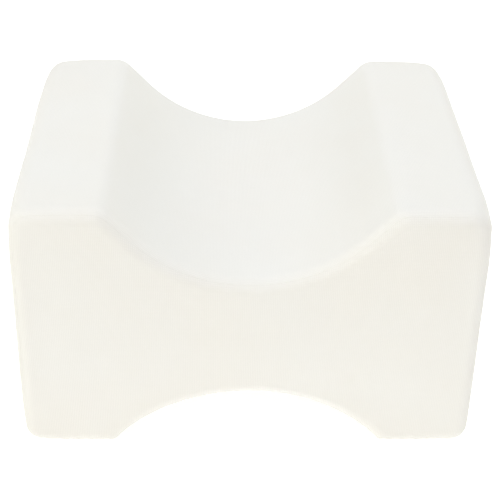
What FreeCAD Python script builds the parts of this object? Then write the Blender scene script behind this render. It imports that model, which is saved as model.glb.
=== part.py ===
"""Hourglass knee pillow: foam core, liner, sewn zip-off cover and its zip.

Millimetres. +X runs across the pillow, +Y towards the zipped rear end, +Z up.
The origin is the middle of the rectangle that the two feet stand in.
"""
import FreeCAD, Part
import math
import os

from FreeCAD import Vector

# Pillow envelope
WIDTH = 250.0
DEPTH = 200.0
HEIGHT = 150.0
SADDLE_WIDTH = 152.0      # leg saddle at the level of the upper flats, lips left sharp
SADDLE_DEPTH = 42.0
SADDLE_RAMP = 46.0        # slope in degrees of the straight ramps at the saddle's sides
ARCH_CHORD = 148.0        # width of the underside arch at the level of the feet
ARCH_DEPTH = 34.5

# Roundings of the outer surface
END_EDGE_R = 8.0          # all round the front and rear ends
TOP_CORNER_R = 11.0
FOOT_CORNER_R = 9.0
SADDLE_LIP_R = 12.0
ARCH_LIP_R = 2.0
SMALLEST_R = 1.0          # an inner layer's rounding is never sharper than this

# Layers, from the outside in
COVER_T = 1.5
LAYER_GAP = 0.1
LINER_T = 0.5

# Cover seams
SEAM_SETBACK = END_EDGE_R * (1.0 - math.sqrt(0.5))
CORNER_CUT = 22.0         # how far the mitred corner seams' cutting planes reach inwards
OVERSIZE = 10.0           # how far a cutting solid stands past the pillow

# Zip, across the rear end at mid waist; it closes towards +X
ZIP_Z = 70.0
WINDOW_HALF_LENGTH = 104.0
WINDOW_HALF_HEIGHT = 4.6
TAPE_HALF_LENGTH = 110.0
TAPE_T = 0.5
TAPE_INNER = 0.9          # from the zip's centre line to a tape's inner edge
TAPE_OUTER = 13.0
COIL_H = 1.5
COIL_INNER = 0.1
COIL_OUTER = 2.1
COIL_SPREAD = 0.7         # how far each coil parts round the slider's post
SPREAD_START = -0.4       # where the coils start to part, from the slider's centre
SPREAD_END = 1.4
STOP_INNER_FACE = 98.0    # |x| of the faces that the slider comes up against
STOP_LENGTH = 2.6
STOP_RUN_CLEARANCE = 0.3
STOP_PROUD = 0.1          # above the coils
STOP_BEHIND = 0.35        # behind the tape
STOP_EDGE_R = 0.3
TOP_STOP_INNER = 0.35     # from the zip's centre line
TOP_STOP_OUTER = 3.4
BOTTOM_STOP_HALF = 2.9

# Slider
SLIDER_LENGTH = 9.4
SLIDER_REAR_HALF = 3.1
SLIDER_FRONT_HALF = 3.8
NOSE_CHAMFER = 0.6
TAIL_CHAMFER = 0.5
FLARE_START = 0.2         # where the plates start to widen, from the slider's centre
FLARE_END = 2.0
PLATE_T = 0.8
PLATE_EDGE_R = 0.25
LOWER_PLATE_T = 0.7
WALL_T = 0.75
WALL_OVER_TAPE = 0.25     # gap for the tape between the lower plate and the side walls
THROAT_LEAD = 0.8         # the throat starts to widen this far before the plates do
POST_HALF = 0.55
POST_START = 0.8
POST_NOSE = 0.25
LOWER_PLATE_CLEARANCE = 0.35
BRIDGE_HALF_LENGTH = 3.0
BRIDGE_HALF_WIDTH = 0.8
BRIDGE_RISE = 2.0
BRIDGE_EYE_HALF = 2.2
BRIDGE_EYE_RISE = 1.2
BRIDGE_SINK = 0.2         # how far the bridge's feet reach into the upper plate
CHANNEL_CLEARANCE = 0.2

# Pull tab
PIN_RISE = 0.6            # hinge line above the slider's upper plate
TAB_T = 0.8
TAB_EYE_HALF = 1.15
TAB_NECK_HALF = 2.1
TAB_EYE_LENGTH = 3.4
TAB_LENGTH = 20.0
TAB_END_HALF = 3.0
TAB_NECK_END = TAB_EYE_LENGTH + 1.0
TAB_SHOULDER = TAB_EYE_LENGTH + 3.5
TAB_TIP_CHAMFER = 2.0
TAB_TIP_STEP = 0.6
TAB_SLOT_START = 7.0
TAB_SLOT_END = 16.0
TAB_SLOT_HALF = 1.3
TAB_SLOT_CHAMFER = 0.5

# Bed pressed into the liner and the foam behind the zip
BED_HALF_LENGTH = 111.5
BED_HALF_HEIGHT = 14.0
BED_UNDER_SLIDER = 0.65

# Stitching and label
STITCH_PITCH = 3.5
STITCH_LENGTH = 2.6
THREAD_R = 0.25
STITCH_FROM_EDGE = 2.0
BAR_TACK_WIDTH = 1.6
BAR_TACK_T = 0.4
LABEL_T = 0.5
LABEL_Z = 42.0
LABEL_WIDTH = 22.0
LABEL_LENGTH = 20.0

# Heights above the rear end that several zip parts share
REAR = DEPTH / 2.0
TAPE_FRONT = REAR - COVER_T
TAPE_BACK = TAPE_FRONT - TAPE_T
COIL_TOP = TAPE_FRONT + COIL_H
PLATE_BASE = COIL_TOP + CHANNEL_CLEARANCE
PLATE_TOP = PLATE_BASE + PLATE_T
LOWER_PLATE_TOP = TAPE_BACK - LOWER_PLATE_CLEARANCE
LOWER_PLATE_BASE = LOWER_PLATE_TOP - LOWER_PLATE_T
BED_FLOOR = LOWER_PLATE_BASE - BED_UNDER_SLIDER
SLIDER_X = STOP_INNER_FACE - STOP_RUN_CLEARANCE - SLIDER_LENGTH / 2.0
PIN_Y = PLATE_TOP + PIN_RISE


def box(x_range, y_range, z_range):
    """Axis-aligned box between the given limits."""
    size = [high - low for low, high in (x_range, y_range, z_range)]
    return Part.makeBox(size[0], size[1], size[2], Vector(x_range[0], y_range[0], z_range[0]))


def prism_y(points, y_low, y_high):
    """Prism along Y over a closed outline of (x, z) points."""
    outline = [Vector(x, y_low, z) for x, z in points]
    face = Part.Face(Part.makePolygon(outline + outline[:1]))
    return face.extrude(Vector(0, y_high - y_low, 0))


def mirrored(points):
    """Close an outline given for z >= 0 with its mirror image below z = 0."""
    return points + [(x, -z) for x, z in reversed(points)]


def at_zip(points, x=0.0, side=1.0):
    """Move an outline from the zip's own centre line to its place on the rear end."""
    return [(x + u, ZIP_Z + side * v) for u, v in points]


def arc_radius(chord, depth):
    """Radius of the circle that has this chord and this depth below it."""
    return (chord ** 2 / 4.0 + depth ** 2) / (2.0 * depth)


def ramped_radius(width, depth, slope):
    """Radius of the arc between two ramps of this slope that meet the top this far apart."""
    return (width / 2.0 * math.sin(slope) - depth * math.cos(slope)) / (1.0 - math.cos(slope))


RAMP_SLOPE = math.radians(SADDLE_RAMP)
SADDLE_R = ramped_radius(SADDLE_WIDTH, SADDLE_DEPTH, RAMP_SLOPE)
ARCH_R = arc_radius(ARCH_CHORD, ARCH_DEPTH)
SADDLE_CENTRE_Z = HEIGHT - SADDLE_DEPTH + SADDLE_R
ARCH_CENTRE_Z = ARCH_DEPTH - ARCH_R


def sharp_block(inset):
    """Hourglass block a constant distance inside the pillow's surface, with sharp edges."""
    half = WIDTH / 2.0 - inset
    top = HEIGHT - inset
    base = inset
    saddle_r = SADDLE_R + inset
    arch_r = ARCH_R + inset
    ramp_x = saddle_r * math.sin(RAMP_SLOPE)
    ramp_z = SADDLE_CENTRE_Z - saddle_r * math.cos(RAMP_SLOPE)
    saddle_half = ramp_x + (top - ramp_z) / math.tan(RAMP_SLOPE)
    arch_half = math.sqrt(arch_r ** 2 - (base - ARCH_CENTRE_Z) ** 2)
    front = inset - DEPTH / 2.0

    def point(x, z):
        return Vector(x, front, z)

    arch = Part.Arc(point(-arch_half, base), point(0, ARCH_CENTRE_Z + arch_r), point(arch_half, base))
    saddle_floor = point(0, SADDLE_CENTRE_Z - saddle_r)
    saddle = Part.Arc(point(ramp_x, ramp_z), saddle_floor, point(-ramp_x, ramp_z))
    edges = [
        Part.makeLine(point(-half, base), point(-arch_half, base)),
        arch.toShape(),
        Part.makeLine(point(arch_half, base), point(half, base)),
        Part.makeLine(point(half, base), point(half, top)),
        Part.makeLine(point(half, top), point(saddle_half, top)),
        Part.makeLine(point(saddle_half, top), point(ramp_x, ramp_z)),
        saddle.toShape(),
        Part.makeLine(point(-ramp_x, ramp_z), point(-saddle_half, top)),
        Part.makeLine(point(-saddle_half, top), point(-half, top)),
        Part.makeLine(point(-half, top), point(-half, base)),
    ]
    return Part.Face(Part.Wire(edges)).extrude(Vector(0, DEPTH - 2.0 * inset, 0))


def edge_radius(edge, inset):
    """Rounding of one edge of the sharp block by where the edge lies, or None where it is smooth."""
    span = edge.BoundBox
    if span.YLength < DEPTH / 2.0:
        return END_EDGE_R - inset
    upper = span.Center.z > HEIGHT / 2.0
    smooth = upper and span.Center.z < HEIGHT - inset - SADDLE_LIP_R / 2.0
    if smooth:
        return None
    outermost = abs(span.Center.x) > WIDTH / 2.0 - inset - SMALLEST_R
    if outermost:
        radius = TOP_CORNER_R if upper else FOOT_CORNER_R
    else:
        radius = SADDLE_LIP_R if upper else ARCH_LIP_R
    return max(radius - inset, SMALLEST_R)


def pillow_solid(inset):
    """Rounded hourglass solid a constant distance inside the pillow's surface."""
    block = sharp_block(inset)
    document = FreeCAD.newDocument()
    base = document.addObject("Part::Feature", "block")
    base.Shape = block
    rounding = document.addObject("Part::Fillet", "rounding")
    rounding.Base = base
    rows = []
    for number, edge in enumerate(block.Edges, start=1):
        radius = edge_radius(edge, inset)
        if radius is not None:
            rows.append((number, radius, radius))
    rounding.Edges = rows
    document.recompute()
    solid = rounding.Shape.Solids[0]
    FreeCAD.closeDocument(document.Name)
    return solid


def zip_bed(floor_y, margin):
    """The shallow bed that the zip presses into a layer behind it."""
    return box(
        (-BED_HALF_LENGTH - margin, BED_HALF_LENGTH + margin),
        (floor_y, REAR + OVERSIZE),
        (ZIP_Z - BED_HALF_HEIGHT - margin, ZIP_Z + BED_HALF_HEIGHT + margin),
    )


def foam_core():
    inset = COVER_T + LAYER_GAP + LINER_T + LAYER_GAP
    skin = LINER_T + LAYER_GAP
    return pillow_solid(inset).cut(zip_bed(BED_FLOOR - skin, skin))


def inner_liner():
    outer = pillow_solid(COVER_T + LAYER_GAP).cut(zip_bed(BED_FLOOR, 0.0))
    inner = pillow_solid(COVER_T + LAYER_GAP + LINER_T).cut(zip_bed(BED_FLOOR - LINER_T, LINER_T))
    return outer.cut(inner)


def side_wedge(side):
    """Everything on one side of the mitred seams at the outer corners."""
    outer = WIDTH / 2.0 + OVERSIZE
    inner = WIDTH / 2.0 - CORNER_CUT
    outline = [
        (side * outer, -OVERSIZE),
        (side * outer, HEIGHT + OVERSIZE),
        (side * inner, HEIGHT - CORNER_CUT),
        (side * inner, CORNER_CUT),
    ]
    return prism_y(outline, -DEPTH, DEPTH)


def cover_panels():
    """Cut the hollow cover along its seams into the panels that it is sewn from."""
    shell = pillow_solid(0.0).cut(pillow_solid(COVER_T))
    reach = WIDTH
    seam_y = REAR - SEAM_SETBACK
    front_zone = box((-reach, reach), (-DEPTH, -seam_y), (-reach, reach))
    rear_zone = box((-reach, reach), (seam_y, DEPTH), (-reach, reach))
    window = box(
        (-WINDOW_HALF_LENGTH, WINDOW_HALF_LENGTH),
        (seam_y, DEPTH),
        (ZIP_Z - WINDOW_HALF_HEIGHT, ZIP_Z + WINDOW_HALF_HEIGHT),
    )
    upper_zone = box((-reach, reach), (seam_y, DEPTH), (ZIP_Z, reach))
    rear = shell.common(rear_zone).cut(window)
    band = shell.cut(front_zone).cut(rear_zone)
    left = band.common(side_wedge(-1.0))
    right = band.common(side_wedge(1.0))
    middle = band.cut(side_wedge(-1.0)).cut(side_wedge(1.0))
    bottom, top = sorted(middle.Solids, key=lambda solid: solid.CenterOfMass.z)
    return {
        "cover_front_panel": shell.common(front_zone),
        "cover_back_upper_panel": rear.common(upper_zone),
        "cover_back_lower_panel": rear.cut(upper_zone),
        "cover_top_panel": top,
        "cover_bottom_panel": bottom,
        "cover_left_panel": left,
        "cover_right_panel": right,
    }


def zip_tape(side):
    outline = [
        (-TAPE_HALF_LENGTH, TAPE_INNER),
        (TAPE_HALF_LENGTH, TAPE_INNER),
        (TAPE_HALF_LENGTH, TAPE_OUTER),
        (-TAPE_HALF_LENGTH, TAPE_OUTER),
    ]
    return prism_y(at_zip(outline, side=side), TAPE_BACK, TAPE_FRONT)


def zip_coil(side):
    """One coil as a closed strip that parts round the slider's post at the closed end."""
    part_start = SLIDER_X + SPREAD_START
    part_end = SLIDER_X + SPREAD_END
    outline = [
        (-STOP_INNER_FACE, COIL_INNER),
        (part_start, COIL_INNER),
        (part_end, COIL_INNER + COIL_SPREAD),
        (STOP_INNER_FACE, COIL_INNER + COIL_SPREAD),
        (STOP_INNER_FACE, COIL_OUTER + COIL_SPREAD),
        (part_end, COIL_OUTER + COIL_SPREAD),
        (part_start, COIL_OUTER),
        (-STOP_INNER_FACE, COIL_OUTER),
    ]
    return prism_y(at_zip(outline, side=side), TAPE_FRONT, COIL_TOP)


def stop_clip(x_range, z_inner, z_outer, side):
    """Metal clip that wraps the tape's inner edge, open where the tape lies in it."""
    outline = [(x_range[0], z_inner), (x_range[1], z_inner), (x_range[1], z_outer), (x_range[0], z_outer)]
    clip = prism_y(at_zip(outline, side=side), TAPE_BACK - STOP_BEHIND, COIL_TOP + STOP_PROUD)
    long_edges = [edge for edge in clip.Edges if edge.BoundBox.XLength > STOP_LENGTH / 2.0]
    return clip.makeFillet(STOP_EDGE_R, long_edges)


def zip_top_stops(tapes):
    x_range = (STOP_INNER_FACE, STOP_INNER_FACE + STOP_LENGTH)
    clips = []
    for side, tape in zip((1.0, -1.0), tapes):
        clips.append(stop_clip(x_range, TOP_STOP_INNER, TOP_STOP_OUTER, side).cut(tape))
    return Part.makeCompound(clips)


def zip_bottom_stop(tapes):
    x_range = (-STOP_INNER_FACE - STOP_LENGTH, -STOP_INNER_FACE)
    clip = stop_clip(x_range, -BOTTOM_STOP_HALF, BOTTOM_STOP_HALF, 1.0)
    return clip.cut(tapes[0]).cut(tapes[1])


def zip_slider_body():
    """Two plates joined by a post, side walls that gather the coils, and a bridge for the tab."""
    half = SLIDER_LENGTH / 2.0
    beyond = half + OVERSIZE
    plan = mirrored([
        (-half, SLIDER_REAR_HALF - TAIL_CHAMFER),
        (-half + TAIL_CHAMFER, SLIDER_REAR_HALF),
        (FLARE_START, SLIDER_REAR_HALF),
        (FLARE_END, SLIDER_FRONT_HALF),
        (half - NOSE_CHAMFER, SLIDER_FRONT_HALF),
        (half, SLIDER_FRONT_HALF - NOSE_CHAMFER),
    ])
    throat = mirrored([
        (-beyond, SLIDER_REAR_HALF - WALL_T),
        (FLARE_START - THROAT_LEAD, SLIDER_REAR_HALF - WALL_T),
        (FLARE_END - THROAT_LEAD, SLIDER_FRONT_HALF - WALL_T),
        (beyond, SLIDER_FRONT_HALF - WALL_T),
    ])
    post = [
        (POST_START, 0.0),
        (FLARE_END, POST_HALF),
        (half - 2.0 * NOSE_CHAMFER, POST_HALF),
        (half - NOSE_CHAMFER, POST_NOSE),
        (half - NOSE_CHAMFER, -POST_NOSE),
        (half - 2.0 * NOSE_CHAMFER, -POST_HALF),
        (FLARE_END, -POST_HALF),
    ]
    upper_plate = prism_y(at_zip(plan, SLIDER_X), PLATE_BASE, PLATE_TOP)
    middle_y = (PLATE_BASE + PLATE_TOP) / 2.0
    top_edges = [edge for edge in upper_plate.Edges if edge.BoundBox.YMin > middle_y]
    upper_plate = upper_plate.makeFillet(PLATE_EDGE_R, top_edges)
    lower_plate = prism_y(at_zip(plan, SLIDER_X), LOWER_PLATE_BASE, LOWER_PLATE_TOP)
    walls = prism_y(at_zip(plan, SLIDER_X), TAPE_FRONT + WALL_OVER_TAPE, PLATE_BASE)
    walls = walls.cut(prism_y(at_zip(throat, SLIDER_X), TAPE_BACK, PLATE_TOP))
    wedge = prism_y(at_zip(post, SLIDER_X), LOWER_PLATE_TOP, PLATE_BASE)
    return upper_plate.fuse([lower_plate, walls, wedge, slider_bridge()]).removeSplitter()


def slider_bridge():
    """Arched strap on the upper plate that the pull tab hangs on."""
    base_z = ZIP_Z - BRIDGE_HALF_WIDTH

    def point(x, rise):
        return Vector(SLIDER_X + x, PLATE_TOP + rise, base_z)

    sink = -BRIDGE_SINK
    outer_arc = Part.Arc(point(-BRIDGE_HALF_LENGTH, 0), point(0, BRIDGE_RISE), point(BRIDGE_HALF_LENGTH, 0))
    eye_arc = Part.Arc(point(BRIDGE_EYE_HALF, 0), point(0, BRIDGE_EYE_RISE), point(-BRIDGE_EYE_HALF, 0))
    edges = [
        outer_arc.toShape(),
        Part.makeLine(point(BRIDGE_HALF_LENGTH, 0), point(BRIDGE_HALF_LENGTH, sink)),
        Part.makeLine(point(BRIDGE_HALF_LENGTH, sink), point(BRIDGE_EYE_HALF, sink)),
        Part.makeLine(point(BRIDGE_EYE_HALF, sink), point(BRIDGE_EYE_HALF, 0)),
        eye_arc.toShape(),
        Part.makeLine(point(-BRIDGE_EYE_HALF, 0), point(-BRIDGE_EYE_HALF, sink)),
        Part.makeLine(point(-BRIDGE_EYE_HALF, sink), point(-BRIDGE_HALF_LENGTH, sink)),
        Part.makeLine(point(-BRIDGE_HALF_LENGTH, sink), point(-BRIDGE_HALF_LENGTH, 0)),
    ]
    return Part.Face(Part.Wire(edges)).extrude(Vector(0, 0, 2.0 * BRIDGE_HALF_WIDTH))


def zip_pull_tab():
    """Flat tab on a cross pin under the bridge, lying back over the closed coils."""
    low = PIN_Y - TAB_T / 2.0
    high = PIN_Y + TAB_T / 2.0
    plan = mirrored([
        (0.0, TAB_NECK_HALF),
        (-TAB_NECK_END, TAB_NECK_HALF),
        (-TAB_SHOULDER, TAB_END_HALF),
        (-TAB_LENGTH + TAB_TIP_CHAMFER, TAB_END_HALF),
        (-TAB_LENGTH + TAB_TIP_STEP, TAB_END_HALF - TAB_TIP_STEP),
        (-TAB_LENGTH, TAB_END_HALF - TAB_TIP_CHAMFER),
    ])
    blade = prism_y(at_zip(plan, SLIDER_X), low, high)
    pin = Part.makeCylinder(
        TAB_T / 2.0,
        2.0 * TAB_NECK_HALF,
        Vector(SLIDER_X, PIN_Y, ZIP_Z - TAB_NECK_HALF),
        Vector(0, 0, 1),
    )
    eye = mirrored([(0.0, TAB_EYE_HALF), (-TAB_EYE_LENGTH, TAB_EYE_HALF)])
    slot = mirrored([
        (-TAB_SLOT_START, TAB_SLOT_HALF - TAB_SLOT_CHAMFER),
        (-TAB_SLOT_START - TAB_SLOT_CHAMFER, TAB_SLOT_HALF),
        (-TAB_SLOT_END + TAB_SLOT_CHAMFER, TAB_SLOT_HALF),
        (-TAB_SLOT_END, TAB_SLOT_HALF - TAB_SLOT_CHAMFER),
    ])
    for opening in (eye, slot):
        blade = blade.cut(prism_y(at_zip(opening, SLIDER_X), low - TAB_T, high + TAB_T))
    return blade.fuse(pin).removeSplitter()


def stitch(x, z):
    """One lockstitch: a half-round length of thread lying on the rear end."""
    start = Vector(x - STITCH_LENGTH / 2.0, REAR, z)
    thread = Part.makeCylinder(THREAD_R, STITCH_LENGTH, start, Vector(1, 0, 0))
    proud = box(
        (x - STITCH_LENGTH, x + STITCH_LENGTH),
        (REAR, REAR + 2.0 * THREAD_R),
        (z - 2.0 * THREAD_R, z + 2.0 * THREAD_R),
    )
    return thread.common(proud)


def zip_topstitch(side):
    z = ZIP_Z + side * (WINDOW_HALF_HEIGHT + STITCH_FROM_EDGE)
    count = int(2.0 * WINDOW_HALF_LENGTH / STITCH_PITCH)
    first = -STITCH_PITCH * (count - 1) / 2.0
    return Part.makeCompound([stitch(first + STITCH_PITCH * index, z) for index in range(count)])


def zip_bar_tacks():
    """Dense stitch blocks that close the two ends of the zip's window."""
    reach = WINDOW_HALF_HEIGHT + STITCH_FROM_EDGE - 2.0 * THREAD_R    # clear of the topstitching
    tacks = []
    for side in (-1.0, 1.0):
        middle = side * (WINDOW_HALF_LENGTH + BAR_TACK_WIDTH)
        x_range = (middle - BAR_TACK_WIDTH / 2.0, middle + BAR_TACK_WIDTH / 2.0)
        tacks.append(box(x_range, (REAR, REAR + BAR_TACK_T), (ZIP_Z - reach, ZIP_Z + reach)))
    return Part.makeCompound(tacks)


def care_label():
    """Blank folded label from the rear right seam, lying against the side."""
    seam_y = REAR - SEAM_SETBACK
    proud = pillow_solid(-LABEL_T).cut(pillow_solid(0.0))
    zone = box(
        (WIDTH / 2.0 - OVERSIZE, WIDTH / 2.0 + OVERSIZE),
        (seam_y - LABEL_LENGTH, seam_y),
        (LABEL_Z, LABEL_Z + LABEL_WIDTH),
    )
    return proud.common(zone)


def build():
    tapes = [zip_tape(1.0), zip_tape(-1.0)]
    parts = {
        "foam_core": foam_core(),
        "inner_liner": inner_liner(),
        "zip_tape_upper": tapes[0],
        "zip_tape_lower": tapes[1],
        "zip_coil_upper": zip_coil(1.0),
        "zip_coil_lower": zip_coil(-1.0),
        "zip_top_stops": zip_top_stops(tapes),
        "zip_bottom_stop": zip_bottom_stop(tapes),
        "zip_slider_body": zip_slider_body(),
        "zip_pull_tab": zip_pull_tab(),
        "zip_topstitch_upper": zip_topstitch(1.0),
        "zip_topstitch_lower": zip_topstitch(-1.0),
        "zip_bar_tacks": zip_bar_tacks(),
        "care_label": care_label(),
    }
    parts.update(cover_panels())
    return parts


os.makedirs("parts", exist_ok=True)
for name, shape in build().items():
    shape.exportStep("parts/" + name + ".step")
    state = "valid" if shape.isValid() else "not valid"
    print(name, state, len(shape.Solids), "solids", round(shape.Volume, 1))
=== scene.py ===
"""Looks of the hourglass knee pillow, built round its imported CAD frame.

Shapes are worked out in millimetres and become meshes in metres. Every cover panel is a closed
thin shell over a grid of points, so its seams, rolled edges and folds are geometry.
"""
import math

import bmesh
import bpy
import numpy as np
from mathutils import Matrix, Vector, kdtree, noise


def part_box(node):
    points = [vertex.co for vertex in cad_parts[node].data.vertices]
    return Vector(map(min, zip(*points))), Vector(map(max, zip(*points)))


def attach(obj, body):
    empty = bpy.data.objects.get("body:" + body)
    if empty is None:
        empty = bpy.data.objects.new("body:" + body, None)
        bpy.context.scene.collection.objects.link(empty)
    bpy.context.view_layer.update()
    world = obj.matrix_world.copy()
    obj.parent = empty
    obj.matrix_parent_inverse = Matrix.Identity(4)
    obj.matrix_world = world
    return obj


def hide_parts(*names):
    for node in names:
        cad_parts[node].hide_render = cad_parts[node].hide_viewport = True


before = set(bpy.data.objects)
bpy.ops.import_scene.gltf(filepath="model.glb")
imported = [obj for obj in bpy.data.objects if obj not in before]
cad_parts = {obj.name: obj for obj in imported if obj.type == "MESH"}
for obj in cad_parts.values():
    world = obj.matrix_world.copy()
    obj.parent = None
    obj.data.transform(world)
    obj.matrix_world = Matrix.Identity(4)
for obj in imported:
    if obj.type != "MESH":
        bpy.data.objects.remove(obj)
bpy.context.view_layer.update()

MM = 0.001
PILLOW, SLIDER, PULL = "pillow", "zip_slider", "zip_pull"

# Envelope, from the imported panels
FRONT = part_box("cover_front_panel")[0].y / MM
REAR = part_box("cover_back_upper_panel")[1].y / MM
HALF_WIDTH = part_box("cover_left_panel")[0].x / -MM
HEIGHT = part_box("cover_top_panel")[1].z / MM

# Section and roundings, as in the CAD model; the arch's lip is a little softer in cloth
SADDLE_WIDTH, SADDLE_DEPTH, SADDLE_RAMP = 152.0, 42.0, math.radians(46.0)
ARCH_CHORD, ARCH_DEPTH = 148.0, 34.5
END_EDGE_R, TOP_CORNER_R, FOOT_CORNER_R = 8.0, 11.0, 9.0
SADDLE_LIP_R, ARCH_LIP_R = 12.0, 3.0
SEAM_ANGLE = math.radians(45.0)        # end seams lie halfway round the end edges
SEAM_INSET = END_EDGE_R * (1.0 - math.sqrt(0.5))

# Grid of the cover
GRID = 1.5                # spacing of its points
TIGHT_R, TIGHT_TURN = 25.0, 6.0        # a tighter arc has a point every few degrees at least
CLOSE_STEPS = 0.0, 0.04, 0.15, 0.35, 0.65, 1.0, 1.7    # lines beside a seam, in SEAM_HALFs
STEP_CLEAR = 0.3          # room between those and the section's own points
EDGE_POINTS, EDGE_SKIP = 10, 3         # points round an end edge, less those among the close lines
TURN_POINTS, TURN_SPAN = 14, 0.6       # columns where the outline turns, and where they thin out
ROW_GAP, COLUMN_GAP = 0.02, 0.015      # lines closer together than this are one
OUTLINE_STEP = 0.2        # spacing of the outline's points, for measuring to

# How the cloth lies
COVER_T = 1.15
SEAM_HALF, SEAM_DEEP = 0.42, 0.09      # width and depth of the cloth's turn-in at a seam
SEAM_GAP = 0.005
END_CROWN, SIDE_CROWN, TOP_CROWN = 0.9, 0.6, 0.35      # how far the stuffing bulges each panel
CROWN_REACH = 24.0
TOP_PULL, FOOT_PULL = 2.0, 0.8         # how far the sewn cover draws in each upper and lower corner
PULL_REACH = 14.0
WAVES = (0.36, 52.0, (3.1, 7.7, 1.3)), (0.10, 13.0, (9.2, 0.4, 5.5))   # height, length, place in noise
PUCKER_HIGH, PUCKER_REACH, PUCKER_LONG = 0.07, 4.5, 7.3
PUCKER_DRIFT = (0.9, 23.0, 0.0), (0.5, 9.1, 1.7)       # share, length, phase of its uneven spacing
DOWNWARD, ON_TABLE = -0.98, 0.5        # cloth that faces down and lies lower than this is pressed flat

# Cloth simulation of the stuffed cover, on a coarse skin
SKIN_GRID, SKIN_FRAMES, SKIN_PRESSURE = 6.0, 20, 4.0
SEAM_HOLD = 4.5           # cloth nearer to a seam than this is held still
BULGE_BLUR = 7.0

# Foam and liner
FOAM_GRID, SOFTEN, SOFTEN_TIMES = 2.6, 0.5, 3
LINER_LIFT, LINER_T = 0.45, 0.3

# Cover beside the zip
ZIP_Z = (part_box("zip_coil_upper")[0].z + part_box("zip_coil_lower")[1].z) / 2.0 / MM
WINDOW_HALF, WINDOW_END, WINDOW_CLOSE = 4.6, 103.2, 1.9
FOLD_HALF, FOLD_DEEP = 0.9, 0.75
FOLD_PUFF, PUFF_INSET, PUFF_WIDTH = 0.12, 1.0, 0.6
FOLD_REACH = 2.0          # the folded look runs on this far past the window
CALM_REACH = 14.0         # the zip holds the cloth level over about this distance
STITCH_LINE, STITCH_VALLEY, VALLEY_WIDTH = 2.0, 0.22, 0.55
STITCH_PITCH, STITCH_LENGTH, THREAD_R = 3.5, 2.75, 0.2
STITCH_RISE, STITCH_SINK = 0.16, 0.30  # its middle over the valley's floor, and its ends below its middle
STITCH_SLANT, SLANT_CHANGE = 0.05, 2.4
TACK_STEP, TACK_SWING, TACK_INSET, TACK_R = 0.2, 0.65, 0.8, 0.15
TACK_LIFT, TACK_WAVE, TACK_RATE = 0.06, 0.08, 31.0

# Zip tapes and coils
TAPE_CORD, TAPE_SELVEDGE = (0.14, 2.3, 0.45), (0.06, 0.5, 0.4)     # height, inset and width of a ridge
TAPE_EDGE_HALF, TAPE_EDGE_DEEP = 0.3, 0.2
TAPE_LINES, TAPE_COLUMNS, TAPE_BORDER = 40, 150, 0.05  # its grid, and an extra line near each edge
TAPE_SHOWS = 0.3          # the tape's relief starts this far inside the window
TAPE_CLOSE = 2.6          # past the stops the two tapes run together over this length
TAPE_CLOSED = 0.85        # and lose this share of the gap between them
COIL_PITCH, FILAMENT_R = 1.3, 0.27
COIL_HEAD, COIL_HEEL = -0.32, 2.1      # the coil's inner and outer edge from the zip's centre line
COIL_START, COIL_END = -1.0, 0.6       # from its low end, and how far it stops short of its high one
COIL_LEAN, COIL_FLAT = 0.10, 0.7       # its turns lean forward, and are flatter than round
COIL_SPREAD, SPREAD_LENGTH = 0.92, 1.8  # how far, and over what length, the coils part at the post
SPREAD_LEAD = 0.4         # they begin to part this far before the slider's middle
ROW_LINES, ROW_THREAD_R = (1.15, 1.72), 0.11           # the two rows of thread along a coil
ROW_DIP, ROW_SUNK, ROW_END = 0.08, 0.02, 0.8

# Care label: thickness, radius of its fold, gap to the cover and lift at its free end
LABEL_T, LABEL_FOLD, LABEL_CLEAR, LABEL_FLARE = 0.09, 0.16, 0.10, 0.35
LABEL_ROOT = 0.6          # it comes out of the seam over this length
LABEL_ROWS, LABEL_COLUMNS, ROOT_CLOSE = 30, 24, 1.5    # its grid, with rows closer at the root
LABEL_WAVE, LABEL_WAVE_LONG = 0.3, 4.5  # unevenness of the lift along its width
LABEL_HELD = 0.8          # nearer to the seam it follows the cloth found this far out
PROBE_CLEAR = 20.0        # rays to the cover start this far beside it

# Metal pieces, from the CAD shapes
WELD, FLAT_ANGLE, SHARP_ANGLE = 0.002, math.radians(1.0), math.radians(40.0)
ROUND_STEPS, ROUND_ANGLE = 3, math.radians(35.0)

# Cover colours, and the knit's loops: width and height, shape, and the painted shade at their foot and
# painted light at their crown
COVER_WARM, COVER_COOL = (0.860, 0.841, 0.787), (0.860, 0.853, 0.813)
WALE, COURSE = 0.95, 0.8
LOOP_SLANT, LOOP_HIGH, RIB_DEEP = 0.9, 0.35, 1.6
# base colour factors at the loops' foot and crown: painted shade in their valleys, painted light on their
# crowns
LOOP_PAINTED_SHADE, LOOP_PAINTED_LIGHT = 0.94, 1.06

# Camera
CAMERA_PITCH, CAMERA_YAW, CAMERA_ROLL = 31.75, 1.86, 1.19
CAMERA_AIM = (2.6, 0.0, 67.3)
CAMERA_DISTANCE, CAMERA_LENS = 770.7, 91.96

# Stage and light; from here on lengths are in metres
FLOOR_GLOW, FLOOR_REACH, FLOOR_DROP = 0.40, 12.0, 0.0002
SKY_BEHIND, SKY_AHEAD = (0.25, 0.25, 0.25), (0.727, 0.690, 0.627)
HORIZON_GLOW = 0.03, 0.13     # slopes: white below the first, the sky's own grey above the second
LAMP_AIM = (0.0, 0.0, 0.07)
LAMPS = {                 # place, disk size, watts and colour
    "top": ((0.0, 0.0, 2.0), 1.6, 22.3, (0.794, 0.850, 1.0)),
    "left": ((-1.8, -0.6, 1.2), 1.2, 8.2, (1.0, 0.993, 0.776)),
    "back": ((1.3, 1.5, 1.0), 1.2, 7.2, (0.980, 1.0, 0.720)),
}


# -------- meshes


def linked(name, data):
    """New object in the scene."""
    piece = bpy.data.objects.new(name, data)
    bpy.context.scene.collection.objects.link(piece)
    return piece


def declared(piece, node, body=PILLOW):
    """Hide the CAD node that the piece stands for, and attach the piece to the body that carries it."""
    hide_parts(node)
    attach(piece, body)
    return piece


def corners(node):
    """The low and high corner of a CAD node's box, in millimetres."""
    return [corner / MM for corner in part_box(node)]


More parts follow.
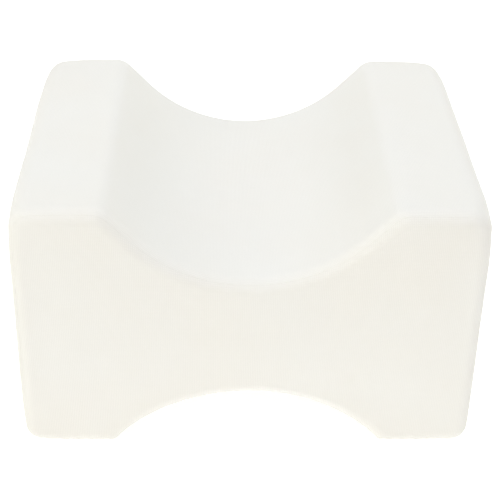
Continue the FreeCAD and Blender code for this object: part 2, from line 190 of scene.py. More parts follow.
def stacked(*parts):
    """Points, or pairs, from an array of each coordinate."""
    return np.stack(np.broadcast_arrays(*parts), -1)


def add_mesh(name, points, faces, uv=None, sharp=50.0):
    """New object from points in millimetres, smooth shaded, with an optional uv per point."""
    mesh = bpy.data.meshes.new(name)
    mesh.from_pydata((np.asarray(points) * MM).tolist(), [], [list(map(int, f)) for f in faces])
    if uv is not None:
        layer = mesh.uv_layers.new(name="cloth")
        corner = np.empty(len(mesh.loops), np.int32)
        mesh.loops.foreach_get("vertex_index", corner)
        layer.data.foreach_set("uv", np.asarray(uv, np.float32)[corner].ravel())
    work = bmesh.new()
    work.from_mesh(mesh)
    bmesh.ops.recalc_face_normals(work, faces=work.faces)
    work.to_mesh(mesh)
    work.free()
    mesh.shade_smooth()
    mesh.set_sharp_from_angle(angle=math.radians(sharp))
    return linked(name, mesh)


def grid_faces(rows, columns):
    """Quads of a grid of points, and the indices of its border in order."""
    index = np.arange(rows * columns).reshape(rows, columns)
    quads = np.stack([index[:-1, :-1], index[:-1, 1:], index[1:, 1:], index[1:, :-1]], -1).reshape(-1, 4)
    border = np.concatenate([index[0, :-1], index[:-1, -1], index[-1, :0:-1], index[:0:-1, 0]])
    return quads, border


def shell(name, outer, inner, uv):
    """Closed thin shell between two grids of points, joined along their borders."""
    rows, columns = outer.shape[:2]
    quads, border = grid_faces(rows, columns)
    count = rows * columns
    after = np.roll(border, -1)
    rim = np.stack([border, after, after + count, border + count], -1)
    faces = np.concatenate([quads, quads[:, ::-1] + count, rim])
    points = np.concatenate([outer.reshape(-1, 3), inner.reshape(-1, 3)])
    flat_uv = np.concatenate([uv.reshape(-1, 2)] * 2)
    return add_mesh(name, points, faces, flat_uv)


def tube_mesh(path, radius, sides=6):
    """Points and faces of a tube with closed ends along a path, its section kept upright."""
    path = np.asarray(path, float)
    along = np.gradient(path, axis=0)
    along /= np.linalg.norm(along, axis=1)[:, None]
    guide = np.tile([0.0, 1.0, 0.0], (len(path), 1))
    guide[np.abs(along[:, 1]) > 0.9] = [1.0, 0.0, 0.0]
    across = np.cross(along, guide)
    across /= np.linalg.norm(across, axis=1)[:, None]
    over = np.cross(across, along)
    turn = np.arange(sides) * 2.0 * math.pi / sides
    ring = across[:, None] * np.cos(turn)[None, :, None] + over[:, None] * np.sin(turn)[None, :, None]
    radii = np.broadcast_to(np.asarray(radius, float), (len(path),))
    points = (path[:, None] + ring * radii[:, None, None]).reshape(-1, 3)
    index = np.arange(len(points)).reshape(len(path), sides)
    ahead = np.roll(index, -1, axis=1)
    faces = np.stack([index[:-1], ahead[:-1], ahead[1:], index[1:]], -1).reshape(-1, 4).tolist()
    faces += [index[0][::-1].tolist(), index[-1].tolist()]
    return points, faces


def tubes(name, paths, radius, sides=6):
    """One object of several tubes."""
    points, faces = [], []
    for path in paths:
        more, quads = tube_mesh(path, radius, sides)
        start = sum(len(p) for p in points)
        faces += [[start + i for i in quad] for quad in quads]
        points.append(more)
    return add_mesh(name, np.concatenate(points), faces)


def beveled_copy(name, node, width):
    """The CAD node's shape with its sharp edges rounded off."""
    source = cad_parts[node]
    mesh = source.data.copy()
    mesh.name = name
    mesh.materials.clear()
    work = bmesh.new()
    work.from_mesh(mesh)
    bmesh.ops.remove_doubles(work, verts=work.verts, dist=WELD * MM)
    bmesh.ops.dissolve_limit(work, angle_limit=FLAT_ANGLE, verts=work.verts, edges=work.edges)
    work.to_mesh(mesh)
    work.free()
    piece = linked(name, mesh)
    rounding = piece.modifiers.new("rounding", "BEVEL")
    rounding.width = width * MM
    rounding.segments = ROUND_STEPS
    rounding.limit_method = "ANGLE"
    rounding.angle_limit = ROUND_ANGLE
    rounding.use_clamp_overlap = True
    bake_modifiers(piece)
    piece.data.shade_smooth()
    piece.data.set_sharp_from_angle(angle=SHARP_ANGLE)
    return piece


def bake_modifiers(piece):
    """Apply the piece's modifiers to its mesh."""
    depsgraph = bpy.context.evaluated_depsgraph_get()
    made = bpy.data.meshes.new_from_object(piece.evaluated_get(depsgraph))
    made.name = piece.name
    piece.modifiers.clear()
    piece.data = made


# -------- the pillow's section


def arc_radius(chord, depth):
    """Radius of an arc from its chord and its depth."""
    return (chord ** 2 / 4.0 + depth ** 2) / (2.0 * depth)


def arc(centre, radius, start, stop, facing):
    """Points and outward normals of an arc in degrees; facing is -1 where the solid is outside it."""
    count = max(4, int(abs(math.radians(stop - start)) * radius / GRID) + 2)
    if radius < TIGHT_R:
        count = max(count, int(abs(stop - start) / TIGHT_TURN) + 2)
    angle = np.radians(np.linspace(start, stop, count))
    ray = np.stack([np.cos(angle), np.sin(angle)], -1)
    return np.asarray(centre) + radius * ray, facing * ray


def line(start, stop, normal):
    """Points of a straight run, and its normal at each."""
    length = math.dist(start, stop)
    share = np.linspace(0.0, 1.0, max(3, int(length / GRID) + 2))[:, None]
    points = np.asarray(start) * (1.0 - share) + np.asarray(stop) * share
    return points, np.tile(np.asarray(normal, float), (len(points), 1))


def joined(runs):
    """Join runs of points end to end, dropping each point that repeats the one before."""
    points = np.concatenate([runs[0][0]] + [run[0][1:] for run in runs[1:]])
    normals = np.concatenate([runs[0][1]] + [run[1][1:] for run in runs[1:]])
    return points, normals


def mirror(run):
    """The run's mirror image in X, in reverse order."""
    flip = np.array([-1.0, 1.0])
    return (run[0] * flip)[::-1], (run[1] * flip)[::-1]


def saddle_half_run():
    """Right half of the saddle: lip, straight ramp and floor, ending on x = 0."""
    sine, cosine = math.sin(SADDLE_RAMP), math.cos(SADDLE_RAMP)
    radius = (SADDLE_WIDTH / 2.0 * sine - SADDLE_DEPTH * cosine) / (1.0 - cosine)
    floor_centre = (0.0, HEIGHT - SADDLE_DEPTH + radius)
    lip_centre = (SADDLE_WIDTH / 2.0 + SADDLE_LIP_R * math.tan(SADDLE_RAMP / 2.0), HEIGHT - SADDLE_LIP_R)
    slope = math.degrees(SADDLE_RAMP)
    lip = arc(lip_centre, SADDLE_LIP_R, 90.0, 90.0 + slope, 1.0)
    floor_arc = arc(floor_centre, radius, slope - 90.0, -90.0, -1.0)
    ramp = line(lip[0][-1], floor_arc[0][0], (-sine, cosine))
    return lip_centre[0], [lip, ramp, floor_arc]


def arch_half_run():
    """Right half of the arch: crown arc from x = 0, and the rounding of its lip."""
    radius = arc_radius(ARCH_CHORD, ARCH_DEPTH)
    centre_z = ARCH_DEPTH - radius
    foot_x = math.sqrt((radius + ARCH_LIP_R) ** 2 - (ARCH_LIP_R - centre_z) ** 2)
    meets = math.degrees(math.atan2(ARCH_LIP_R - centre_z, foot_x))
    crown_arc = arc((0.0, centre_z), radius, 90.0, meets, -1.0)
    lip = arc((foot_x, ARCH_LIP_R), ARCH_LIP_R, meets + 180.0, 270.0, 1.0)
    return foot_x, [crown_arc, lip]


def section_runs():
    """The section's four runs, split where the corner seams lie, all anticlockwise."""
    top_x, top_z = HALF_WIDTH - TOP_CORNER_R, HEIGHT - TOP_CORNER_R
    foot_x, foot_z = HALF_WIDTH - FOOT_CORNER_R, FOOT_CORNER_R
    lip_x, saddle = saddle_half_run()
    arch_x, arch = arch_half_run()
    top_half = joined([
        arc((top_x, top_z), TOP_CORNER_R, 45.0, 90.0, 1.0),
        line((top_x, HEIGHT), (lip_x, HEIGHT), (0.0, 1.0)),
        *saddle,
    ])
    bottom_half = joined([
        *arch,
        line((arch_x, 0.0), (foot_x, 0.0), (0.0, -1.0)),
        arc((foot_x, foot_z), FOOT_CORNER_R, 270.0, 315.0, 1.0),
    ])
    right = joined([
        arc((foot_x, foot_z), FOOT_CORNER_R, 315.0, 360.0, 1.0),
        line((HALF_WIDTH, foot_z), (HALF_WIDTH, top_z), (1.0, 0.0)),
        arc((top_x, top_z), TOP_CORNER_R, 0.0, 45.0, 1.0),
    ])
    return {
        "right": right,
        "top": joined([top_half, mirror(top_half)]),
        "left": mirror(right),
        "bottom": joined([mirror(bottom_half), bottom_half]),
    }


def run_lengths(points):
    """Distance along a run at each of its points."""
    return np.concatenate([[0.0], np.cumsum(np.linalg.norm(np.diff(points, axis=0), axis=1))])


RUNS = section_runs()
LOOP = joined([RUNS["right"], RUNS["top"], RUNS["left"], RUNS["bottom"]])
LOOP_LENGTH = run_lengths(LOOP[0])


# -------- how the cloth lies


def eased(share):
    """A share from 0 to 1 with a level start and end."""
    share = np.clip(share, 0.0, 1.0)
    return share * share * (3.0 - 2.0 * share)


def hill(at, middle, width):
    """A smooth hill of height 1 at the middle."""
    return np.exp(-((at - middle) / width) ** 2)


def waves(points):
    """Slow unevenness of the stuffed cover at each point, in millimetres."""
    out = np.zeros(len(points))
    for i, point in enumerate(points):
        for high, length, start in WAVES:
            out[i] += high * noise.noise(Vector(point) / length + Vector(start))
    return out


def rolled(distance, half, deep):
    """How far cloth is turned in near an edge at this distance: a quarter ellipse."""
    share = np.clip(1.0 - distance / half, 0.0, 1.0)
    return -deep * (1.0 - np.sqrt(np.clip(1.0 - share ** 2, 0.0, 1.0)))


def pucker(along, distance):
    """Small gathers that a seam's thread pulls into the cloth beside it."""
    phase = along / PUCKER_LONG
    for share, length, start in PUCKER_DRIFT:
        phase = phase + share * np.sin(along / length + start)
    return PUCKER_HIGH * np.exp(-distance / PUCKER_REACH) * np.sin(2.0 * math.pi * phase)


def point_tree(points):
    """Tree for finding the points nearest to a place."""
    tree = kdtree.KDTree(len(points))
    for i, point in enumerate(points):
        tree.insert(point, i)
    tree.balance()
    return tree


def seam_tree():
    """The pillow's seams as points: the two end seams and the four along its corners."""
    curve = LOOP[0] - LOOP[1] * SEAM_INSET
    points = [(x, y, z) for y in (FRONT + SEAM_INSET, REAR - SEAM_INSET) for x, z in curve]
    for run in RUNS.values():
        x, z = run[0][0]
        points += [(x, y, z) for y in np.arange(FRONT, REAR, GRID)]
    return point_tree(points)


def mesh_points(mesh):
    """A mesh's points in millimetres."""
    points = np.empty(len(mesh.vertices) * 3)
    mesh.vertices.foreach_get("co", points)
    return points.reshape(-1, 3) / MM


def simulated_bulge():
    """How far the stuffed cover bulges outward over the foam, as a tree of points and distances.

    A coarse skin over the foam is blown up as cloth with its seams held still. The panels look
    up the shape of its bulge and scale it to what firm foam lets them do.
    """
    skin = smooth_copy("stuffing_skin", "foam_core", SKIN_GRID)
    rest = mesh_points(skin.data)
    outward = np.array([vertex.normal for vertex in skin.data.vertices])
    seams = seam_tree()
    held = [i for i, point in enumerate(rest) if seams.find(point)[2] < SEAM_HOLD]
    skin.vertex_groups.new(name="seams").add(held, 1.0, "REPLACE")
    cloth = skin.modifiers.new("stuffing", "CLOTH")
    cloth.settings.vertex_group_mass = "seams"
    cloth.settings.use_pressure = True
    cloth.settings.uniform_pressure_force = SKIN_PRESSURE
    cloth.settings.effector_weights.gravity = 0.0
    cloth.point_cache.frame_end = SKIN_FRAMES
    scene = bpy.context.scene
    for step in range(1, SKIN_FRAMES + 1):
        scene.frame_set(step)
    bake_modifiers(skin)
    moved = ((mesh_points(skin.data) - rest) * outward).sum(1)
    scene.frame_set(1)
    bpy.data.objects.remove(skin)
    return point_tree(rest), np.maximum(moved, 0.0)


def bulge(points, to_seam):
    if BULGE is None:
        return 1.0 - np.exp(-to_seam / CROWN_REACH)
    tree, moved = BULGE
    flat = points.reshape(-1, 3)
    out = np.empty(len(flat))
    for i, point in enumerate(flat):
        near = tree.find_range(point, 2.0 * BULGE_BLUR)
        weight = hill(np.array([found[2] for found in near]), 0.0, BULGE_BLUR)
        out[i] = weight @ moved[[found[1] for found in near]] / weight.sum()
    return (out / out.max()).reshape(to_seam.shape) * (1.0 - np.exp(-to_seam / SEAM_HOLD))


def drawn_in(points):
    """The same points with each of the pillow's eight corners drawn in along its diagonal."""
    middle = np.array([0.0, (FRONT + REAR) / 2.0, HEIGHT / 2.0])
    half = np.array([HALF_WIDTH, (REAR - FRONT) / 2.0, HEIGHT / 2.0])
    outward = np.sign(points - middle)
    apex = middle + outward * (half - END_EDGE_R / 2.0)
    share = hill(np.linalg.norm(points - apex, axis=-1), 0.0, PULL_REACH)
    pull = np.where(outward[..., 2] > 0.0, TOP_PULL, FOOT_PULL) / math.sqrt(3.0)
    return points - (pull * share)[..., None] * outward


def on_feet(points, normals):
    """1 where the cloth is pressed flat by the surface that the pillow stands on."""
    return ((normals[..., 2] < DOWNWARD) & (points[..., 2] < ON_TABLE)).astype(float)


def edge_steps(length, both=True):
    """Distances along a grid line, closely spaced where cloth rolls in at one end or both."""
    close = SEAM_HALF * np.array(CLOSE_STEPS)
    last = length - close[-1] if both else length
    middle = np.linspace(close[-1], last, int((last - close[-1]) / GRID) + 2)
    far = [length - close[-2::-1]] if both else []
    return np.concatenate([close[:-1], middle, *far])


def resample(run, steps):
    """A run's points and normals at these distances along it."""
    lengths = run_lengths(run[0])
    points, normals = (
        np.stack([np.interp(steps, lengths, part[:, k]) for k in (0, 1)], -1) for part in run
    )
    return points, normals / np.linalg.norm(normals, axis=1)[:, None]


def merged_steps(run):
    """The run's own points, which follow its curvature, with close steps at both ends."""
    lengths = run_lengths(run[0])
    ends = edge_steps(lengths[-1])
    close = SEAM_HALF * CLOSE_STEPS[-1]
    inside = lengths[(lengths > close + STEP_CLEAR) & (lengths < lengths[-1] - close - STEP_CLEAR)]
    return np.concatenate([ends[ends <= close], inside, ends[ends >= lengths[-1] - close]])


def thinned(values, gap):
    """Several lists of values in one order, without those that crowd the value before."""
    values = np.unique(np.round(np.concatenate(values), 3))
    return values[np.concatenate([[True], np.diff(values) > gap])]


# -------- cover panels


def pulled_apart(outer, base):
    """Leave a hair's gap along the borders, so that neighbouring panels don't touch."""
    centre = base.reshape(-1, 3).mean(0)
    moved = outer.copy()
    for border in (np.s_[0, :], np.s_[-1, :], np.s_[:, 0], np.s_[:, -1]):
        towards = centre - moved[border]
        moved[border] += SEAM_GAP * towards / np.linalg.norm(towards, axis=-1)[..., None]
    return moved


def cover_panel(name, base, facing, lift, uv, size, **area):
    """Closed cloth of a panel, lifted off its base; size, as cut with seam allowances left out, is not
    used.
    """
    outer = drawn_in(base + facing * lift[..., None])
    outer[..., 2] = np.maximum(outer[..., 2], 0.0)
    inner = drawn_in(base - facing * COVER_T)
    piece = shell(name, pulled_apart(outer, base), inner, uv)
    declared(piece, name.replace("_cloth", ""))
    return piece


def band_rows():
    """Across the band, front seam to rear seam: distance, inset, y, and the normal's two parts."""
    bend = SEAM_ANGLE * END_EDGE_R
    straight = REAR - FRONT - 2.0 * END_EDGE_R
    total = straight + 2.0 * bend
    edge = np.linspace(0.0, bend, EDGE_POINTS)[EDGE_SKIP:]
    steps = thinned([edge_steps(total), edge, total - edge], ROW_GAP)
    to_end = np.minimum(steps, total - steps)
    turned = np.clip(SEAM_ANGLE + to_end / END_EDGE_R, None, math.pi / 2.0)
    inset = END_EDGE_R * (1.0 - np.sin(turned))
    lift = END_EDGE_R * (1.0 - np.cos(turned))
    run = np.clip(steps - bend, 0.0, straight)
    y = np.select([steps < bend, steps > total - bend], [FRONT + lift, REAR - lift],
                  FRONT + END_EDGE_R + run)
    facing = np.where(steps < total / 2.0, -1.0, 1.0)
    return steps, inset, y, np.sin(turned), facing * np.cos(turned)


def band_panel(name, run, loop_start, crown_high):
    """A panel of the band round the pillow, from one corner seam to the next."""
    along = merged_steps(run)
    points, normals = resample(run, along)
    across, inset, y, outward, endward = band_rows()
    x, z = (points[:, None, k] - normals[:, None, k] * inset for k in (0, 1))
    base = stacked(x, y, z)
    facing = stacked(normals[:, None, 0] * outward, endward, normals[:, None, 1] * outward)
    to_end, to_corner = np.broadcast_arrays(np.minimum(across, across[-1] - across)[None, :],
                                            np.minimum(along, along[-1] - along)[:, None])
    lift = waves(base.reshape(-1, 3)).reshape(to_end.shape)
    if crown_high > 0.0:
        lift += crown_high * bulge(base, np.minimum(to_end, to_corner))
    lift *= 1.0 - on_feet(base, facing)
    lift += pucker(loop_start + along[:, None], to_end)
    lift += rolled(to_end, SEAM_HALF, SEAM_DEEP) + rolled(to_corner, SEAM_HALF, SEAM_DEEP)
    uv = stacked(across[None, :], (loop_start + along)[:, None])
    return cover_panel(name, base, facing, lift, uv, (along[-1], across[-1]))


# -------- end panels


def dense_loop():
    """Close points of the section's outline: their distances along it, and a tree of them."""
    lengths = np.arange(0.0, LOOP_LENGTH[-1], OUTLINE_STEP)
    x, z = (np.interp(lengths, LOOP_LENGTH, LOOP[0][:, k]) for k in (0, 1))
    return lengths, point_tree(list(zip(x, z, np.zeros(len(x)))))


OUTLINE_LENGTHS, OUTLINE_TREE = dense_loop()


def inset_heights(columns):
    """Lowest and highest z of the end panel at each x, a seam's inset inside the outline."""
    curve = LOOP[0] - LOOP[1] * SEAM_INSET
    heights = []
    for part in (curve[curve[:, 1] < HEIGHT / 2.0], curve[curve[:, 1] > HEIGHT / 2.0]):
        order = np.argsort(part[:, 0], kind="stable")
        heights.append(np.interp(columns, part[order, 0], part[order, 1]))
    return heights


def end_columns():
    """x of the end panel's grid columns, close together where the outline turns."""
    reach = HALF_WIDTH - SEAM_INSET
    corner = TOP_CORNER_R - SEAM_INSET
    turn = np.radians(np.linspace(0.0, 90.0, TURN_POINTS))
    side = reach - corner * (1.0 - np.cos(turn))
    close = reach - edge_steps(corner * TURN_SPAN, both=False)[:-1]
    middle = np.linspace(-side[-1], side[-1], int(2.0 * side[-1] / GRID))
    half = np.concatenate([side, close, [arch_half_run()[0]]])
    return thinned([half, -half, middle], COLUMN_GAP)


def end_shape(x, z):
    """Depth behind the end's flat face, its normal, and the outline's place nearest each point."""
    depth = np.empty(x.shape)
    normal = np.empty(x.shape + (3,))
    place = np.empty(x.shape)
    distance = np.empty(x.shape)
    for at in np.ndindex(x.shape):
        nearest, index, gap = OUTLINE_TREE.find((x[at], z[at], 0.0))
        gap = max(gap, 1e-6)
        lean = max(0.0, 1.0 - gap / END_EDGE_R)
        upright = math.sqrt(max(0.0, 1.0 - lean * lean))
        depth[at] = END_EDGE_R * (1.0 - upright)
        normal[at] = ((nearest[0] - x[at]) / gap * lean, -upright, (nearest[1] - z[at]) / gap * lean)
        place[at] = OUTLINE_LENGTHS[index]
        distance[at] = gap - SEAM_INSET
    return depth, normal, place, np.maximum(distance, 0.0)


def end_grid(low, high, columns):
    """Grid points of an end panel between two curves z(x), with close rows at both."""
    height = float(np.median(high - low))
    shares = edge_steps(height) / height
    z = low[:, None] + (high - low)[:, None] * shares[None, :]
    return np.broadcast_arrays(columns[:, None], z)


def window_gap(x):
    """Half the height of the opening that the zip lies in, at each x."""
    return WINDOW_HALF * (1.0 - eased((np.abs(x) - WINDOW_END) / WINDOW_CLOSE)) + SEAM_GAP


def end_panel(name, side, part):
    """One end panel. side is -1 at the front, 1 at the rear; part is whole, upper or lower."""
    columns = end_columns()
    low, high = inset_heights(columns)
    if part == "upper":
        low = ZIP_Z + window_gap(columns)
    if part == "lower":
        high = ZIP_Z - window_gap(columns)
    x, z = end_grid(low, high, columns)
    depth, facing, place, to_seam = end_shape(x, z)
    face = FRONT if side < 0 else REAR
    base = np.stack([x, face - side * depth, z], -1)
    facing = facing * np.array([1.0, -side, 1.0])
    lift = waves(base.reshape(-1, 3)).reshape(x.shape) + END_CROWN * bulge(base, to_seam)
    if part != "whole":
        lift *= zip_calm(z)
    lift += pucker(place, to_seam) + rolled(to_seam, SEAM_HALF, SEAM_DEEP)
    if part != "whole":
        lift += zip_edge(x, z)
    heights = high - low
    area = float(np.sum((heights[1:] + heights[:-1]) / 2.0 * np.diff(columns)))
    size = (columns[-1] - columns[0], float(heights.max()))
    return cover_panel(name, base, facing, lift, stacked(x, z), size, area=area * MM * MM)


def zip_calm(z):
    """0 at the zip, 1 away from it: the tape holds the cloth level there."""
    away = np.abs(z - ZIP_Z) - WINDOW_HALF - STITCH_LINE
    return 1.0 - np.exp(-np.clip(away, 0.0, None) / CALM_REACH)


def zip_edge(x, z):
    """Folded edge along the zip, the shallow valley of its topstitching, and the end seams."""
    gap = window_gap(x)
    from_edge = np.abs(z - ZIP_Z) - gap
    open_share = np.clip(gap / WINDOW_HALF, 0.0, 1.0)
    half = SEAM_HALF + (FOLD_HALF - SEAM_HALF) * open_share
    deep = SEAM_DEEP + (FOLD_DEEP - SEAM_DEEP) * open_share
    fold = rolled(from_edge, half, deep)
    valley = -STITCH_VALLEY * hill(np.abs(z - ZIP_Z), WINDOW_HALF + STITCH_LINE, VALLEY_WIDTH)
    puff = FOLD_PUFF * hill(from_edge, PUFF_INSET, PUFF_WIDTH)
    return fold + (valley + puff) * (np.abs(x) < WINDOW_END + WINDOW_CLOSE + FOLD_REACH)


# -------- foam and liner


def smooth_copy(name, node, voxel):
    """A soft even mesh over the CAD node's shape."""
    piece = linked(name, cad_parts[node].data.copy())
    piece.data.materials.clear()
    remesh = piece.modifiers.new("remesh", "REMESH")
    remesh.mode = "VOXEL"
    remesh.voxel_size = voxel * MM
    soften = piece.modifiers.new("soften", "SMOOTH")
    soften.factor = SOFTEN
    soften.iterations = SOFTEN_TIMES
    bake_modifiers(piece)
    piece.data.shade_smooth()
    return piece


def foam_block():
    """Moulded foam block that fills the liner and the cover."""
    piece = declared(smooth_copy("foam_core_block", "foam_core", FOAM_GRID), "foam_core")
    return piece


def liner_sock(block):
    """Thin jersey sock over the foam block."""
    piece = linked("inner_liner_sock", block.data.copy())
    piece.data.materials.clear()
    wrap = piece.modifiers.new("wrap", "DISPLACE")
    wrap.strength = LINER_LIFT * MM
    wrap.mid_level = 0.0
    cloth = piece.modifiers.new("cloth", "SOLIDIFY")
    cloth.thickness = LINER_T * MM
    cloth.offset = -1.0
    bake_modifiers(piece)
    piece.data.shade_smooth()
    declared(piece, "inner_liner")
    return piece


# -------- zip


def zip_tape(name, node, side):
    """Woven tape with a raised cord beside the coil and a selvedge at its outer edge."""
    low, high = corners(node)
    inner_edge, outer_edge = (low.z, high.z) if side > 0 else (high.z, low.z)
    width = abs(outer_edge - inner_edge)
    even = np.linspace(0.0, width, TAPE_LINES)
    across = np.unique(np.concatenate([even, [TAPE_BORDER, width - TAPE_BORDER]]))
    along = np.linspace(low.x, high.x, TAPE_COLUMNS)
    z = inner_edge + side * across
    lift = rolled(np.minimum(across, width - across), TAPE_EDGE_HALF, TAPE_EDGE_DEEP)
    for from_edge, (high_by, inset, half) in ((across, TAPE_CORD), (width - across, TAPE_SELVEDGE)):
        lift = lift + high_by * hill(from_edge, inset, half)
    y = high.y + np.minimum(lift, 0.0) + np.maximum(lift, 0.0) * visible_strip(z)
    past_stop = np.abs(along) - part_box("zip_top_stops")[1].x / MM
    closing = np.clip(past_stop / TAPE_CLOSE, 0.0, 1.0) * abs(inner_edge - ZIP_Z) * TAPE_CLOSED
    z = z - side * closing[:, None] * (1.0 - across / width)
    outer = stacked(along[:, None], y, z)
    inner = stacked(along[:, None], low.y, z)
    uv = stacked(along[:, None], across[None, :])
    piece = declared(shell(name, outer, inner, uv), node)
    return piece


def visible_strip(z):
    """1 in the zip's window, 0 where the tape lies under the cover."""
    return (np.abs(z - ZIP_Z) < WINDOW_HALF - TAPE_SHOWS).astype(float)


def coil_line(x):
    """How far a coil has moved off the zip's centre line at each x: it parts at the slider's post."""
    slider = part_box("zip_slider_body")
    start = (slider[0].x + slider[1].x) / 2.0 / MM - SPREAD_LEAD
    return COIL_SPREAD * eased((x - start) / SPREAD_LENGTH)


def zip_coil(name, node, side, shift, per_turn=14):
    """Nylon coil: a flattened helix whose heads mesh with the other coil's."""
    low, high = corners(node)
    start = low.x + COIL_START + shift
    turns = int((high.x - COIL_END - start) / COIL_PITCH)
    turn = np.arange(turns * per_turn + 1) / per_turn
    angle = 2.0 * math.pi * turn
    x = start + COIL_PITCH * (turn + COIL_LEAN * np.sin(2.0 * angle))
    half_high = (high.y - low.y) / 2.0 - FILAMENT_R
    y = low.y + FILAMENT_R + half_high * (1.0 + np.sin(angle))
    head = COIL_HEAD + FILAMENT_R
    heel = COIL_HEEL - FILAMENT_R
    squeezed = np.sign(np.cos(angle)) * np.abs(np.cos(angle)) ** COIL_FLAT
    out = (head + heel) / 2.0 + (heel - head) / 2.0 * squeezed + coil_line(x)
    path = np.stack([x, y, ZIP_Z + side * out], -1)
    return declared(tubes(name, [path], FILAMENT_R, sides=7), node)


def coil_stitches(name, side, node):
    """Two rows of thread that sew a coil down, dipping between its turns; no CAD node has them."""
    low, high = corners(node)
    x = np.arange(low.x + ROW_END, high.x - ROW_END, COIL_PITCH / 8.0)
    paths = []
    for out in ROW_LINES:
        y = high.y - ROW_SUNK + ROW_DIP * np.cos(2.0 * math.pi * x / COIL_PITCH + out)
        z = ZIP_Z + side * (out + coil_line(x))
        paths.append(np.stack([x, y, z], -1))
    piece = tubes(name, paths, ROW_THREAD_R, sides=5)
    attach(piece, PILLOW)
    return piece


def metal_piece(name, node, body, width):
    """A cast or stamped piece of the zip, its edges rounded over this width."""
    return declared(beveled_copy(name, node, width), node, body)


def topstitch(name, node, side):
    """A row of lockstitches, each sinking into the cloth at its two ends."""
    low, high = corners(node)
    count = int(round((high.x - low.x) / STITCH_PITCH))
    z = ZIP_Z + side * (WINDOW_HALF + STITCH_LINE)
    share = np.linspace(-1.0, 1.0, 9)
    paths = []
    for index in range(count):
        middle = low.x + STITCH_PITCH * (index + 0.5) - (STITCH_PITCH - STITCH_LENGTH) / 2.0
        x = middle + STITCH_LENGTH / 2.0 * share
        y = REAR - STITCH_VALLEY + STITCH_RISE - STITCH_SINK * share ** 4
        slant = STITCH_SLANT * math.sin(index * SLANT_CHANGE)
        paths.append(np.stack([x, y, z + slant * share], -1))
    return declared(tubes(name, paths, THREAD_R), node)


def bar_tacks():
    """Dense zigzags that close the two ends of the zip's window."""
    low, high = corners("zip_bar_tacks")
    half = (high.z - low.z) / 2.0
    paths = []
    for side in (-1.0, 1.0):
        middle = side * (high.x - TACK_INSET)
        z = np.arange(ZIP_Z - half, ZIP_Z + half, TACK_STEP)
        swing = np.where(np.arange(len(z)) % 2 == 0, -TACK_SWING, TACK_SWING)
        fine_z = np.linspace(z[0], z[-1], (len(z) - 1) * 4 + 1)
        fine_x = middle + np.interp(fine_z, z, swing)
        y = REAR + TACK_LIFT + TACK_WAVE * np.cos(fine_z * TACK_RATE)
        paths.append(np.stack([fine_x, y, fine_z], -1))
    piece = tubes("zip_bar_tack_threads", paths, TACK_R, sides=5)
    return declared(piece, "zip_bar_tacks")


def label_profile(length):
    """The folded label from the seam, round its fold and back: distance out and standing off."""
    there = (length - LABEL_FOLD) * np.linspace(0.0, 1.0, LABEL_ROWS) ** ROOT_CLOSE
    turn = np.radians(np.linspace(0.0, 180.0, 9))[1:-1]
    out = np.concatenate([there, length - LABEL_FOLD + LABEL_FOLD * np.sin(turn), there[::-1]])
    stand = LABEL_FOLD * np.concatenate([np.ones(LABEL_ROWS), np.cos(turn), -np.ones(LABEL_ROWS)])
    return out, (stand + LABEL_FOLD + LABEL_CLEAR) * (1.0 - np.exp(-out / LABEL_ROOT))


def care_label(side_panel):
    """Blank folded satin label, held in the rear right seam and lying against the side."""
    low, high = corners("care_label")
    length = high.y - low.y
    across = np.linspace(low.z, high.z, LABEL_COLUMNS)
    out, stand = label_profile(length)
    bpy.context.view_layer.update()
    beside, inward = (HALF_WIDTH + PROBE_CLEAR) * MM, Vector((-1.0, 0.0, 0.0))
    outer = np.empty((len(out), len(across), 3))
    for i, j in np.ndindex(outer.shape[:2]):
        y, z = high.y - out[i], across[j]
        on_panel = min(y, high.y - LABEL_HELD)
        hit = side_panel.ray_cast(Vector((beside, on_panel * MM, z * MM)), inward)[1]
        outer[i, j] = (hit.x / MM + stand[i], y, z)
    free = (out / length)[:, None]
    outer[..., 0] += LABEL_FLARE * free ** 2 * (1.0 + LABEL_WAVE * np.sin(across / LABEL_WAVE_LONG))
    slopes = np.gradient(outer[:, :, :2].mean(1), axis=0)
    slopes /= np.linalg.norm(slopes, axis=1)[:, None]
    normal = np.stack([-slopes[:, 1], slopes[:, 0], np.zeros(len(slopes))], -1)
    inner = outer - LABEL_T * normal[:, None, :]
    uv = stacked(run_lengths(outer.mean(1))[:, None], across[None, :])
    piece = declared(shell("care_label_satin", outer, inner, uv), "care_label")
    return piece


# -------- materials
# Scales are per metre where the place is the object's own, and bump distances are in metres.


